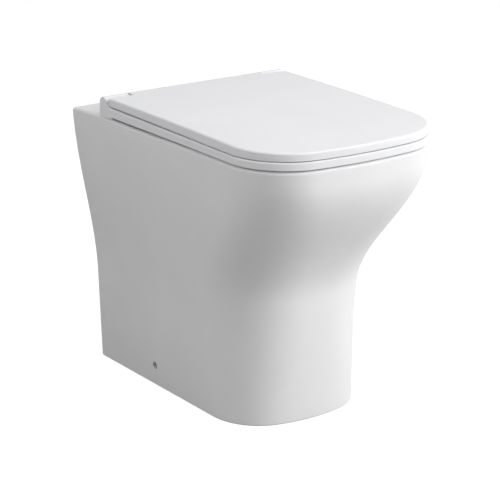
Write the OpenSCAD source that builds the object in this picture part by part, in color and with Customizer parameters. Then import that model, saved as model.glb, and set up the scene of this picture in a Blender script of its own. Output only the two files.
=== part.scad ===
// Back to wall toilet: a skirted ceramic pan with a slim seat and lid on soft-close hinges.
// +Z is up, the front faces -Y and the wall is the plane Y = 0. The origin is on the floor,
// under the middle of the pan's back. Sizes are in millimetres.

/* [Pan outside] */
// Height of the rim above the floor
rim_h = 420; // [400:1:440]
// Width of the pan across its rim
rim_w = 328; // [322:1:350]
// Reach of the rim from the wall
rim_reach = 520; // [514:1:545]
// Plan radius of the rim's front corners
rim_corner_r = 94; // [80:1:110]
// How far the rim's front edge bows out
rim_bow = 21; // [14:1:30]
// Rounding of the rim's outer edge
rim_edge_r = 5; // [3:0.5:7]
// Width of the pan at the floor
foot_w = 237; // [225:1:255]
// Reach of the pan from the wall at the floor
foot_reach = 403; // [390:1:420]
// Plan radius of the foot's front corners
foot_corner_r = 82; // [70:1:100]
// How far the foot's front edge bows out
foot_bow = 31; // [20:1:45]
// Rounding of the foot's lower edge
foot_edge_r = 3; // [1:0.5:5]
// Plan radius of the front corners half way up
waist_corner_r = 111; // [95:1:122]
// Spread of each side for each mm of height
side_lean = 0.042; // [0:0.002:0.07]
// Forward lean of the front for each mm of height
front_lean = 0.05; // [0:0.002:0.08]
// Distance below the rim at which the side flare ends
side_flare_drop = 8; // [0:1:30]
// Height of the side flare
side_flare_l = 268; // [220:1:310]
// Distance below the rim at which the front overhang ends
front_flare_drop = 27; // [10:1:45]
// Height of the front overhang
front_flare_l = 202; // [170:1:230]
// Rounding of the pan's upright back edges
back_edge_r = 4; // [2:0.5:6]
// Fall of the rim and deck from the front of the bowl to the hinge
rear_fall = 2.8; // [0:0.1:3.2]
// Distance from the wall at which that fall starts
rear_fall_from = 400; // [380:1:410]
// Distance from the wall at which it ends
rear_fall_to = 122; // [119:1:126]
// Further fall of the deck towards the wall
deck_fall = 3; // [0:0.5:10]
// Length over which the deck falls
deck_fall_l = 72; // [50:1:73]
// Height over which the skirt and the bowl take up those falls
deck_fall_h = 60; // [40:1:80]

/* [Pan inside] */
// Thickness of the skirt
skirt_wall = 12; // [9:0.5:14]
// Thickness of the deck
deck_t = 20; // [17:0.5:24]
// Thickness of the ceramic round the bowl
bowl_wall = 11; // [9:0.5:12]
// Width of the bowl's mouth
bowl_w = 234; // [222:1:240]
// Distance from the wall to the back of the bowl's mouth
bowl_back = 165; // [158:1:172]
// Width of the rim in front of the bowl's mouth
front_land = 45; // [42:1:50]
// Height of the bowl's floor
bowl_floor_h = 66; // [62:1:75]
// Distance from the wall to the middle of the sump
sump_back = 322; // [318:1:326]
// Rounding of the bowl's lip
lip_r = 5; // [3:0.5:6]

/* [Trapway and pipes] */
// Radius of the trapway
trap_r = 36; // [32:0.5:38]
// Thickness of the ceramic round the trapway
trap_wall = 9; // [7:0.5:10]
// Slope of the trapway's rising leg, in degrees
trap_rise_a = 60; // [57:1:63]
// Slope of the trapway behind the weir, in degrees
trap_drop_a = 40; // [36:1:44]
// Length of the straight drop behind the weir
trap_drop_l = 15; // [10:1:20]
// Bend radius at the sump
sump_bend_r = 45; // [42:1:48]
// Bend radius over the weir
weir_bend_r = 50; // [47:1:53]
// Bend radius before the spigot
outlet_bend_r = 60; // [56:1:64]
// Height of the waste outlet's middle
outlet_h = 185; // [182:1:190]
// Outside diameter of the waste spigot
spigot_d = 102; // [100:1:110]
// Bore of the waste spigot
spigot_bore_d = 84; // [80:1:90]
// Length of the waste spigot
spigot_l = 40; // [35:1:45]
// Distance from the wall to the end of the spigot
spigot_gap = 22; // [15:1:26]
// Height of the flush inlet's middle
inlet_h = 335; // [325:1:345]
// Bore of the flush inlet
inlet_d = 55; // [50:0.5:58]
// Depth of the flush inlet's socket
inlet_l = 60; // [45:1:70]
// Distance from the wall to the mouth of the flush inlet
inlet_gap = 45; // [30:1:60]
// Thickness of the ceramic round the flush inlet
inlet_wall = 11; // [8:0.5:14]
// Bore of the passage from the inlet to the bowl
flush_d = 42; // [36:1:46]
// Diameter of the floor-fixing holes
fixing_d = 12; // [10:0.5:14]
// Distance from the wall to the floor-fixing holes
fixing_back = 160; // [140:1:180]
// Height of the floor-fixing holes
fixing_h = 33; // [28:1:45]

/* [Hinge] */
// Distance from the wall to the hinge axis
axis_back = 92; // [91:0.5:96]
// Height of the hinge axis above the rim
axis_up = 18.5; // [18:0.25:20]
// Outside radius of the hinge barrels
barrel_r = 10; // [9.5:0.25:10.5]
// Spacing of the two hinge posts
post_spacing = 155; // [150:1:160]
// Width of a hinge post
post_w = 25; // [22:0.5:28]
// Distance of a hinge post's stem behind the hinge axis
stem_rear = 2; // [1:0.25:2.5]
// Distance of the studs in front of the hinge axis
stud_lead = 4; // [3.5:0.25:4.5]
// Diameter of the hinge plates
plate_d = 30; // [28:0.5:33]
// Thickness of the hinge plates
plate_t = 2.5; // [1.5:0.25:2.75]
// Thickness of the deck gaskets
gasket_t = 1; // [0.5:0.25:1.5]
// Diameter of the pivot pins and damper shafts
shaft_d = 8; // [6:0.5:8.5]
// Length of shaft or pin held in a post
shaft_grip = 11; // [9:0.5:11.5]
// Outside diameter of the bushes
bush_d = 11; // [10:0.25:12]
// Length of the bushes
bush_l = 28; // [22:0.5:28]
// Outside diameter of the soft-close dampers
damper_d = 14; // [12:0.25:15]
// Length of the soft-close dampers
damper_l = 37; // [30:0.5:38]
// Distance from a damper's middle to its keying flat
damper_flat = 5.8; // [5.5:0.1:6.2]
// Length of damper shaft inside a damper
damper_grip = 26; // [20:0.5:28]
// Length of the lid's end knuckles
end_knuckle_l = 28.6; // [28.5:0.1:32]
// Gap between a hinge post and the lid's knuckles
post_gap = 0.4; // [0.3:0.05:0.8]
// Gap between the lid's knuckles and the seat's lugs
lug_gap = 2; // [1:0.1:3]
// Radial clearance of a turning shaft
run_gap = 0.06; // [0.02:0.01:0.09]
// Radial clearance of a fixed piece in its hole
fit_gap = 0.05; // [0.02:0.01:0.1]

/* [Deck fixings] */
// Diameter of the studs
stud_d = 8; // [6:0.5:8]
// Depth of stud thread in a post
stud_grip = 7; // [5:0.5:8]
// Length of stud below the nut
stud_tail = 12; // [5:1:25]
// Diameter of the stud holes in the deck
deck_hole_d = 14; // [13:0.5:16]
// Diameter of the washers under the deck
washer_d = 30; // [26:0.5:34]
// Thickness of the washers
washer_t = 2; // [1.5:0.25:3]
// Width across corners of the nuts
nut_d = 20; // [16:0.5:24]
// Height of the nuts
nut_h = 10; // [6:0.5:14]

/* [Seat] */
// Gap between the rim and the seat, beside the hinge
seat_gap = 4; // [3.5:0.25:5]
// How much that gap closes towards the front
seat_gap_close = 2; // [0:0.1:2.5]
// Thickness of the seat at its outer edge
seat_t = 10.2; // [9.5:0.1:10.8]
// Fall of the seat's top towards the front
seat_front_fall = 0.9; // [0:0.1:1.2]
// Fall of the seat's top towards the opening
seat_dish = 2.6; // [1:0.1:3]
// Rounding of the seat's upper edges
seat_edge_r = 2.2; // [1:0.1:2.5]
// Width of the seat's opening
seat_hole_w = 218; // [205:1:228]
// Distance from the wall to the back of the seat's opening
seat_hole_back = 172; // [165:1:180]
// Width of the seat in front of its opening
seat_front_w = 68; // [60:1:75]
// Distance from the hinge axis to the back edge of the seat's bridge
bridge_gap = 19; // [18.5:0.25:21]
// Depth of the channel under the seat
channel_h = 3.4; // [2:0.2:3.8]
// Width of the walls beside that channel
channel_wall = 6; // [5:0.5:9]
// Half the depth of a hinge lug, from front to back
lug_half = 10; // [9.5:0.25:10]
// Gap between a hinge lug and the deck
lug_foot_gap = 0.8; // [0.5:0.1:1.5]
// Reach of a lug's toe in front of the hinge axis
lug_toe = 23; // [20:0.5:26]
// Distance of the rear seat buffers from the wall
seat_buffer_back = 215; // [205:1:235]
// Distance of the rear seat buffers from the middle
seat_buffer_side = 134; // [130:1:138]
// Distance of the front seat buffers behind the seat's front
seat_buffer_front = 54; // [50:1:58]
// Distance of the front seat buffers from the middle
seat_buffer_mid = 80; // [70:1:90]
// Diameter of the seat buffers
seat_buffer_d = 16; // [12:0.5:18]

/* [Lid] */
// Gap between the seat and the lid, beside the hinge
lid_gap = 2.4; // [2:0.1:3]
// How much that gap closes towards the front
lid_gap_close = 1.1; // [0:0.1:1.3]
// How far the lid's edge lies inside the seat's
lid_inset = 1.5; // [0:0.25:3]
// Height of the lid's top above its lower edge, at the front
lid_front_t = 9.6; // [9.2:0.1:10.5]
// Height of the lid's top above its lower edge, at the back
lid_back_t = 12; // [11.4:0.1:12.4]
// Extra crown of the lid's top half way along
lid_crown = 1.9; // [0:0.1:2.5]
// Rounding of the lid's upper edge
lid_edge_r = 3; // [1.5:0.25:3.25]
// Rounding of the lid's back edge
lid_back_r = 5; // [3:0.25:5.5]
// Rounding of the lid's lower back edge, which a cove on each lug follows
lid_heel_r = 6; // [4:0.25:6.25]
// Depth of the recess under the lid
lid_recess = 5; // [4.5:0.1:5.2]
// Width of the lid's wall round that recess
lid_wall = 7; // [6:0.5:10]
// Gap between a hinge lug and the lid's back edge
notch_gap = 1.5; // [1.25:0.25:3]
// Distance from the hinge axis to the lid's edge over a hinge post
post_notch = 5; // [4.5:0.25:7]
// Distance of the rear lid buffers from the wall
lid_buffer_back = 200; // [190:1:220]
// Distance of the rear lid buffers from the middle
lid_buffer_side = 132; // [125:1:140]
// Distance of the front lid buffers behind the lid's front
lid_buffer_front = 30; // [28:1:36]
// Distance of the front lid buffers from the middle
lid_buffer_mid = 96; // [80:1:100]
// Diameter of the lid buffers
lid_buffer_d = 12; // [8:0.5:13]

/* [Joints] */
// Distance from the wall at which the gaps start to close towards the front
close_from = 150; // [140:1:165]
// Distance from the wall at which they have closed
close_to = 450; // [430:1:470]
// Gap left under a buffer, between parts that part when the joint opens
rest_gap = 0.2; // [0.1:0.05:0.4]

/* [Hidden] */
$fn = 64;

// Steps along half a plan outline: back edge, back corner, side, front corner, front edge
back_steps = 8;
back_corner_steps = 3;
side_steps = 10;
corner_steps = 10;
front_steps = 5;
// How strongly the side's points gather towards the wall
side_gather = 1.45;
// Steps round an egg-shaped section, up the skirt, up its hollow, down the bowl, round an
// edge, round a bend of the trapway and round the trapway's section
egg_steps = 44;
skirt_steps = 20;
hollow_steps = 9;
bowl_steps = 12;
edge_steps = 4;
bend_steps = 6;
tube_sides = 28;
// Squareness of the egg-shaped sections: 2 is an ellipse
egg_power = 2.3;
// Powers that shape the deck's fall and the bowl's sides, front and back down its depth
fall_power = 1.3;
side_power = 2.2;
side_close_power = 0.8;
front_power = 1.1;
rear_power = 0.75;
// Overlap that keeps a cut from ending flush with a face
cut = 1;
// Space left at the blind end of a hole, and small easing of edges
end_gap = 0.5;
ease_edge = 1;

// Derived sizes
axis_y = -axis_back;
axis_z = rim_h + axis_up;
post_x = post_spacing / 2;
post_in = post_x - post_w / 2;
post_out = post_x + post_w / 2;
stud_y = axis_y - stud_lead;
deck_h = rim_h - rear_fall;
deck_under = deck_h - deck_t;
post_z = deck_h + gasket_t + plate_t;
seat_z = rim_h + seat_gap;
seat_top = seat_z + seat_t;
seat_mid = (seat_hole_back + rim_reach - seat_front_w) / 2;
lid_z = seat_top + lid_gap;
lid_ceiling = lid_z + lid_recess;
lid_back = axis_back + barrel_r + notch_gap;
lid_front = rim_reach - lid_inset;
heel_y = -lid_back - lid_heel_r;
heel_z = lid_z + lid_heel_r;
knuckle_in = post_in - post_gap;
end_knuckle = post_out + post_gap;
knuckle_out = end_knuckle + end_knuckle_l;
lug_in = knuckle_out + lug_gap;
lug_out = rim_w / 2;
lug_r = axis_z - deck_h - lug_foot_gap;
toe_y = axis_y - lug_toe;
bridge_back = axis_back + bridge_gap;
shaft_r = shaft_d / 2;
turn_r = shaft_r + run_gap;
grip_r = shaft_r + fit_gap;
lid_damper_x = knuckle_in - end_gap;
seat_damper_x = lug_in + end_gap;
bush_r = bush_d / 2;
washer_z = deck_under - washer_t;
nut_z = washer_z - nut_h;
trap_low = bowl_floor_h + trap_r;
spigot_y = -spigot_gap - spigot_l;

// ---- Curves -------------------------------------------------------------------------------

// Smooth step from 0 to 1
function ease(t) = let (u = min(max(t, 0), 1)) u * u * (3 - 2 * u);

function last(list) = list[len(list) - 1];

// Half width of the skirt at a height
function skirt_half(z) =
    foot_w / 2 + side_lean * z
    + (rim_w / 2 - foot_w / 2 - side_lean * rim_h)
    * ease((z - rim_h + side_flare_drop + side_flare_l) / side_flare_l);

// Reach of the skirt at a height
function skirt_reach(z) =
    foot_reach + front_lean * z
    + (rim_reach - foot_reach - front_lean * rim_h)
    * ease((z - rim_h + front_flare_drop + front_flare_l) / front_flare_l);

// Corner radius of the skirt at a height: a parabola through foot, waist and rim
function skirt_corner(z) =
    let (t = z / rim_h)
    foot_corner_r * (1 - t) + rim_corner_r * t
    + 4 * t * (1 - t) * (waist_corner_r - (foot_corner_r + rim_corner_r) / 2);

// Bow of the skirt's front at a height
function skirt_bow(z) = foot_bow + (rim_bow - foot_bow) * z / rim_h;

// Fall of the rim, and of the seat's lower edge above it: level again under the hinge
function rim_fall(y) = rear_fall * ease((y + rear_fall_from) / (rear_fall_from - rear_fall_to));

// Share of the way over which the gaps have closed towards the front
function closed(y) = ease((-close_from - y) / (close_to - close_from));

// Fall of the pan's top
function fall(y) = rim_fall(y) + deck_fall * pow(max(0, 1 + y / deck_fall_l), fall_power);

// Height of the lid's top
function lid_top(y) =
    let (t = min(max((axis_y - y) / (rim_reach - axis_back), 0), 1))
    lid_z + lid_back_t + (lid_front_t - lid_back_t) * t + 4 * lid_crown * t * (1 - t);

// ---- Outlines -----------------------------------------------------------------------------

// Points of an arc, both ends included
function arc(centre, r, from, to, steps) =
    [for (i = [0:steps]) let (a = from + (to - from) * i / steps) centre + r * [cos(a), sin(a)]];

// Left half of a D-shaped plan outline, from the middle of the back to the middle of the front
function left_half(half, back, reach, corner, bow, back_r) =
    let (
        front_r = (half * half + bow * bow) / (2 * bow),
        front_c = [0, front_r - reach],
        inner = half - corner,
        corner_c = [-inner, front_c[1] - sqrt(pow(front_r - corner, 2) - inner * inner)],
        turn = atan2(corner_c[1] - front_c[1], -inner) + 360
    )
    concat(
        [for (i = [1:back_steps - 1]) [-(half - back_r) * i / back_steps, -back]],
        arc([back_r - half, -back - back_r], back_r, 90, 180, back_corner_steps),
        [for (i = [1:side_steps - 1])
            let (t = pow(i / side_steps, side_gather))
            [-half, (-back - back_r) * (1 - t) + corner_c[1] * t]],
        arc(corner_c, corner, 180, turn, corner_steps),
        [for (i = [1:front_steps - 1])
            let (a = turn + (270 - turn) * i / front_steps)
            front_c + front_r * [cos(a), sin(a)]]
    );

// The whole outline, anticlockwise seen from above
function plan(half, back, reach, corner, bow, back_r) =
    let (left = left_half(half, back, reach, corner, bow, back_r), n = len(left))
    concat([[0, -back]], left, [[0, -reach]],
           [for (i = [n - 1:-1:0]) [-left[i][0], left[i][1]]]);

// Point of an egg-shaped outline in the direction of an angle about [0, -mid]
function egg_point(a, half, back, mid, reach) =
    let (
        length_y = sin(a) > 0 ? mid - back : reach - mid,
        r = pow(pow(abs(cos(a)) / half, egg_power) + pow(abs(sin(a)) / length_y, egg_power),
                -1 / egg_power)
    )
    [r * cos(a), r * sin(a) - mid];

function egg(half, back, mid, reach) =
    [for (i = [0:egg_steps - 1]) egg_point(90 + 360 * i / egg_steps, half, back, mid, reach)];

function at_height(outline, z) = [for (q = outline) [q[0], q[1], z]];

// The same on the pan, where an outline near the top takes up the top's fall
function on_pan(outline, z) =
    let (share = ease((z - rim_h + deck_fall_h) / deck_fall_h))
    [for (q = outline) [q[0], q[1], z - fall(q[1]) * share]];

// ---- Solids from rings --------------------------------------------------------------------

// Faces between neighbouring rings of n points
function side_faces(rings, n, wrap) =
    [for (k = [0:rings - (wrap ? 1 : 2)], i = [0:n - 1])
        let (a = k * n, b = ((k + 1) % rings) * n, j = (i + 1) % n)
        each [[a + i, b + i, b + j], [a + i, b + j, a + j]]];

// Top of a plan outline in strips from side to side, so that its height may follow Y
function strip_faces(start, n) =
    let (half = n / 2)
    concat(
        [concat([for (i = [half - 1:-1:0]) if (i <= back_steps + 1) start + i],
                [for (i = [1:back_steps + 1]) start + n - i])],
        [for (i = [back_steps + 1:half - 2])
            [start + i + 1, start + i, start + n - i, start + n - i - 1]],
        [[start + half, start + half - 1, start + half + 1]]
    );

// The same faces turned over
function turned(faces) = [for (f = faces) [for (i = [len(f) - 1:-1:0]) f[i]]];

// Closed solid through round or egg-shaped rings of equally many points, lowest ring first
module loft(rings) {
    n = len(rings[0]);
    m = len(rings);
    bottom = [for (i = [0:n - 1]) i];
    top = [for (i = [n - 1:-1:0]) (m - 1) * n + i];
    polyhedron([for (ring = rings) each ring],
               concat([bottom], side_faces(m, n, false), [top]));
}

// Closed solid through plan outlines, with ends that may follow Y
module plan_loft(rings) {
    n = len(rings[0]);
    m = len(rings);
    polyhedron([for (ring = rings) each ring],
               concat(turned(strip_faces(0, n)), side_faces(m, n, false),
                      strip_faces((m - 1) * n, n)));
}

// Closed loop of rings: a frame round an opening
module loop_loft(rings) {
    polyhedron([for (ring = rings) each ring], side_faces(len(rings), len(rings[0]), true));
}

// ---- Shapes on the hinge axis and at the studs ---------------------------------------------

// Cylinder along X between two places on the hinge axis
module axle(from, to, r) {
    translate([min(from, to), axis_y, axis_z])
        rotate([0, 90, 0]) cylinder(h = abs(to - from), r = r);
}

// The same with eased ends
module eased_axle(from, to, r, edge = ease_edge) {
    length = abs(to - from);
    translate([min(from, to), axis_y, axis_z]) rotate([0, 90, 0])
        rotate_extrude() polygon([
            [0, 0], [r - edge, 0], [r, edge], [r, length - edge], [r - edge, length],
            [0, length]]);
}

// The same with a flat along its underside, for a damper and its hole
module keyed_axle(from, to, r, flat) {
    difference() {
        axle(from, to, r);
        translate([min(from, to) - cut, axis_y - r, axis_z - flat - r])
            cube([abs(to - from) + 2 * cut, 2 * r, r]);
    }
}

// Ring of rubber or plastic on the hinge axis
module bush(from, to) {
    difference() {
        eased_axle(from, to, bush_r, ease_edge / 2);
        axle(min(from, to) - cut, max(from, to) + cut, turn_r);
    }
}

// Soft-close damper: its mouth is at the first place, and its blind end at the second
module damper(from, to) {
    side = sign(to - from);
    difference() {
        keyed_axle(from, to, damper_d / 2, damper_flat);
        axle(from - side * cut, from + side * (damper_grip + end_gap), turn_r);
    }
}

// Block across X whose outline in the YZ plane is given
module across(from, to, outline) {
    translate([from, 0, 0])
        rotate([90, 0, 90]) linear_extrude(height = to - from) polygon(outline);
}

module at_studs() {
    for (side = [-1, 1]) translate([side * post_x, stud_y, 0]) children();
}

// Upright disc with eased edges
module puck(z, h, r, edge) {
    translate([0, 0, z]) rotate_extrude() polygon([
        [0, 0], [r - edge, 0], [r, edge], [r, h - edge], [r - edge, h], [0, h]]);
}

// The same with a hole
module disc(z, h, outer, inner, edge) {
    difference() {
        puck(z, h, outer, edge);
        translate([0, 0, z - cut]) cylinder(h = h + 2 * cut, r = inner);
    }
}

// ---- Pan ----------------------------------------------------------------------------------

// Ring of the skirt, drawn in by an amount
function skirt_ring(z, inset) =
    on_pan(plan(skirt_half(z) - inset, inset, skirt_reach(z) - inset, skirt_corner(z) - inset,
                skirt_bow(z), back_edge_r), z);

function skirt_rings() = concat(
    [for (i = [0:edge_steps - 1])
        let (a = 90 * i / edge_steps)
        skirt_ring(foot_edge_r * (1 - cos(a)), foot_edge_r * (1 - sin(a)))],
    [for (i = [0:skirt_steps])
        skirt_ring(foot_edge_r + (rim_h - rim_edge_r - foot_edge_r) * i / skirt_steps, 0)],
    [for (i = [1:edge_steps])
        let (a = 90 * i / edge_steps)
        skirt_ring(rim_h - rim_edge_r * (1 - sin(a)), rim_edge_r * (1 - cos(a)))]
);

// The hollow behind the skirt, open at the floor and at the wall
function hollow_ring(z) =
    plan(skirt_half(z) - skirt_wall, -cut, skirt_reach(z) - skirt_wall,
         skirt_corner(z) - skirt_wall, skirt_bow(z), back_edge_r);

function hollow_rings() = concat(
    [at_height(hollow_ring(0), -cut)],
    [for (i = [0:hollow_steps])
        let (z = deck_under * i / hollow_steps)
        at_height(hollow_ring(z), z)]
);

// Share of the mouth's half width, front and back length left at a depth from 0 to 1
function bowl_side(t) = pow(1 - pow(t, side_power), side_close_power);
function bowl_front(t) = 1 - pow(t, front_power);
function bowl_rear(t) = pow(1 - t, rear_power);

// Distance from the wall to the back of the bowl at a depth
function bowl_rear_at(t) = sump_back - (sump_back - bowl_back) * bowl_rear(t);

// Section of the bowl at a depth, grown by an amount
function bowl_egg(t, grow) =
    egg(bowl_w / 2 * bowl_side(t) + grow,
        bowl_rear_at(t) - grow,
        sump_back,
        sump_back + (rim_reach - front_land - sump_back) * bowl_front(t) + grow);

// Depths from near the sump's floor upwards, closer together at the floor
function bowl_depth(i) = sin(90 * (bowl_steps - i) / (bowl_steps + 2));

function bowl_height(t) = rim_h - (rim_h - bowl_floor_h) * t;

function bowl_cavity() = concat(
    [for (i = [0:bowl_steps - 1])
        let (t = bowl_depth(i)) on_pan(bowl_egg(t, 0), bowl_height(t))],
    [for (i = [0:edge_steps])
        let (a = 90 * i / edge_steps)
        on_pan(bowl_egg(0, lip_r * (1 - cos(a))), rim_h - lip_r * (1 - sin(a)))],
    [on_pan(bowl_egg(0, lip_r), rim_h + cut)]
);

function bowl_shell() = concat(
    [for (i = [0:bowl_steps - 1])
        let (t = bowl_depth(i)) at_height(bowl_egg(t, bowl_wall), bowl_height(t) - bowl_wall)],
    [at_height(bowl_egg(0, bowl_wall), deck_under + cut)]
);

// Points of the trapway's middle line are [y, z, slope]
function bend(at, r, from, to) =
    let (s = to > from ? 1 : -1)
    [for (i = [1:bend_steps]) let (a = from + (to - from) * i / bend_steps)
        [at[0] + s * r * (sin(a) - sin(from)), at[1] + s * r * (cos(from) - cos(a)), a]];

function along(at, l) = [at[0] + l * cos(at[2]), at[1] + l * sin(at[2]), at[2]];

// The middle line is worked out from the spigot back to the sump
drop_end = [spigot_y - outlet_bend_r * sin(trap_drop_a),
            outlet_h + outlet_bend_r * (1 - cos(trap_drop_a)), -trap_drop_a];
weir_end = along(drop_end, -trap_drop_l);
leg_end = [weir_end[0] - weir_bend_r * (sin(trap_rise_a) + sin(trap_drop_a)),
           weir_end[1] - weir_bend_r * (cos(trap_drop_a) - cos(trap_rise_a)), trap_rise_a];
leg_rise = leg_end[1] - trap_low - sump_bend_r * (1 - cos(trap_rise_a));
leg_start = along(leg_end, -leg_rise / sin(trap_rise_a));
sump_end = [leg_start[0] - sump_bend_r * sin(trap_rise_a), trap_low, 0];

trap_path = concat(
    [[trap_r / 2 - sump_back, trap_low, 0], sump_end],
    bend(sump_end, sump_bend_r, 0, trap_rise_a),
    [leg_end],
    bend(leg_end, weir_bend_r, trap_rise_a, -trap_drop_a),
    [drop_end],
    bend(drop_end, outlet_bend_r, -trap_drop_a, 0)
);

// Round tube along the trapway, with its last ring a little past the end
module trap_tube(r) {
    path = concat(trap_path, [along(last(trap_path), cut)]);
    loft([for (p = path) [for (i = [0:tube_sides - 1]) let (a = -360 * i / tube_sides)
        [r * cos(a), p[0] - r * sin(a) * sin(p[2]), p[1] + r * sin(a) * cos(p[2])]]]);
}

// Cylinder along Y from one distance off the wall to another
module pipe(z, from, to, r) {
    translate([0, -from, z]) rotate([90, 0, 0]) cylinder(h = to - from, r = r);
}

module pan() {
    flush_end = bowl_rear_at((rim_h - inlet_h) / (rim_h - bowl_floor_h));
    color("white") difference() {
        union() {
            difference() {
                plan_loft(skirt_rings());
                plan_loft(hollow_rings());
            }
            loft(bowl_shell());
            trap_tube(trap_r + trap_wall);
            pipe(outlet_h, spigot_gap, spigot_gap + spigot_l, spigot_d / 2);
            pipe(inlet_h, inlet_gap, flush_end + bowl_wall, inlet_d / 2 + inlet_wall);
        }
        loft(bowl_cavity());
        trap_tube(trap_r);
        pipe(outlet_h, spigot_gap - cut, spigot_gap + spigot_l, spigot_bore_d / 2);
        pipe(inlet_h, inlet_gap - cut, inlet_gap + inlet_l, inlet_d / 2);
        pipe(inlet_h, inlet_gap, flush_end + 2 * bowl_wall, flush_d / 2);
        for (side = [-1, 1])
            translate([side * (skirt_half(fixing_h) - 2 * skirt_wall), -fixing_back, fixing_h])
                rotate([0, side * 90, 0]) cylinder(h = 3 * skirt_wall, r = fixing_d / 2);
        at_studs() translate([0, 0, deck_under - cut])
            cylinder(h = deck_t + 2 * cut, r = deck_hole_d / 2);
    }
}

// ---- Seat ---------------------------------------------------------------------------------

// Outer outline of the seat; its back edge steps forward between the lugs
function seat_outer(inset) =
    [for (q = plan(rim_w / 2 - inset, axis_back + barrel_r / 2 + inset, rim_reach - inset,
                   rim_corner_r - inset, rim_bow, back_edge_r))
        abs(q[0]) < lug_in ? [q[0], min(q[1], -bridge_back - inset)] : q];

// Outline of the seat's opening, point for point with the outer outline
function seat_inner(grow) =
    [for (q = seat_outer(0))
        egg_point(atan2(q[1] + seat_mid, q[0]), seat_hole_w / 2 + grow, seat_hole_back - grow,
                  seat_mid, rim_reach - seat_front_w + grow)];

// Outline at the seat's lower edge, which follows the rim
function seat_foot(outline) =
    [for (q = outline) [q[0], q[1], seat_z - rim_fall(q[1]) - seat_gap_close * closed(q[1])]];

// Outline near the seat's top
function seat_crest(outline, z) =
    [for (q = outline) [q[0], q[1], z - seat_front_fall * closed(q[1])]];

function seat_rings() =
    let (outer = seat_outer(seat_edge_r), inner = seat_inner(seat_edge_r))
    concat(
        [seat_foot(seat_outer(0))],
        [for (i = [0:edge_steps])
            let (a = 90 * i / edge_steps)
            seat_crest(seat_outer(seat_edge_r * (1 - cos(a))),
                       seat_top - seat_edge_r * (1 - sin(a)))],
        [for (i = [1:3])
            let (t = i / 4)
            seat_crest([for (k = [0:len(outer) - 1]) outer[k] * (1 - t) + inner[k] * t],
                       seat_top - seat_dish * ease(t))],
        [for (i = [0:edge_steps])
            let (a = 90 * i / edge_steps)
            seat_crest(seat_inner(seat_edge_r * (1 - sin(a))),
                       seat_top - seat_dish - seat_edge_r * (1 - cos(a)))],
        [seat_foot(seat_inner(0)),
         seat_foot(seat_inner(channel_wall)),
         at_height(seat_inner(channel_wall), seat_z + channel_h),
         at_height(seat_outer(channel_wall), seat_z + channel_h),
         seat_foot(seat_outer(channel_wall))]
    );

// Hinge lug: a barrel on a foot that is rounded so that it turns clear of the deck, with a toe
// under the seat and a cove in front of the barrel
module seat_lug(side) {
    from = side < 0 ? -lug_out : lug_in;
    to = side < 0 ? -lug_in : lug_out;
    eased_axle(from, to, barrel_r);
    intersection() {
        eased_axle(from, to, lug_r);
        translate([from, axis_y - lug_half, axis_z - lug_r])
            cube([to - from, 2 * lug_half, lug_r]);
    }
    across(from, to, [
        [axis_y, seat_z], [toe_y, seat_z], [toe_y, axis_z - lug_r + ease_edge],
        [toe_y + ease_edge, axis_z - lug_r], [axis_y, axis_z - lug_r]]);
    across(from, to, concat(
        [[axis_y, seat_top - seat_edge_r], [heel_y, seat_top - seat_edge_r]],
        arc([heel_y, heel_z], lid_heel_r + lid_gap, 270, 330, edge_steps),
        [[axis_y, axis_z]]));
}

module seat_ring() {
    color("whitesmoke") difference() {
        union() {
            loop_loft(seat_rings());
            seat_lug(-1);
            seat_lug(1);
        }
        keyed_axle(-lug_in + cut, -seat_damper_x - damper_l - fit_gap,
                   damper_d / 2 + fit_gap, damper_flat + fit_gap);
        axle(lug_in - cut, seat_damper_x + bush_l + fit_gap, bush_r + fit_gap);
    }
}

// Buffer whose foot clears the rim at the buffer's front edge, where the rim is higher
module seat_buffer(x, y) {
    foot = rim_h + rest_gap - rim_fall(y - seat_buffer_d / 2);
    translate([x, y, 0]) puck(foot, seat_z + channel_h - foot, seat_buffer_d / 2, ease_edge);
}

module seat_buffers() {
    color("dimgray") for (side = [-1, 1]) {
        seat_buffer(side * seat_buffer_side, -seat_buffer_back);
        seat_buffer(side * seat_buffer_mid, seat_buffer_front - rim_reach);
    }
}

// ---- Lid ----------------------------------------------------------------------------------

// Ring of the lid: drawn in at the sides and, by its own amount, at the back
function lid_outline(inset, back_inset) =
    plan(rim_w / 2 - lid_inset - inset, lid_back + back_inset, lid_front - inset,
         rim_corner_r - lid_inset - inset, rim_bow, back_edge_r);

// Outline near the lid's lower edge
function lid_foot(outline, z) =
    [for (q = outline) [q[0], q[1], z - (seat_front_fall + lid_gap_close) * closed(q[1])]];

function lid_rings() = concat(
    [for (i = [0:edge_steps])
        let (a = 90 * i / edge_steps)
        lid_foot(lid_outline(ease_edge / 2 * (1 - sin(a)), lid_heel_r * (1 - sin(a))),
                 lid_z + lid_heel_r * (1 - cos(a)))],
    [for (i = [0:edge_steps])
        let (a = 90 * i / edge_steps)
        [for (q = lid_outline(lid_edge_r * (1 - cos(a)), lid_back_r * (1 - cos(a))))
            [q[0], q[1], lid_top(q[1]) - lid_edge_r * (1 - sin(a))]]]
);

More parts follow.
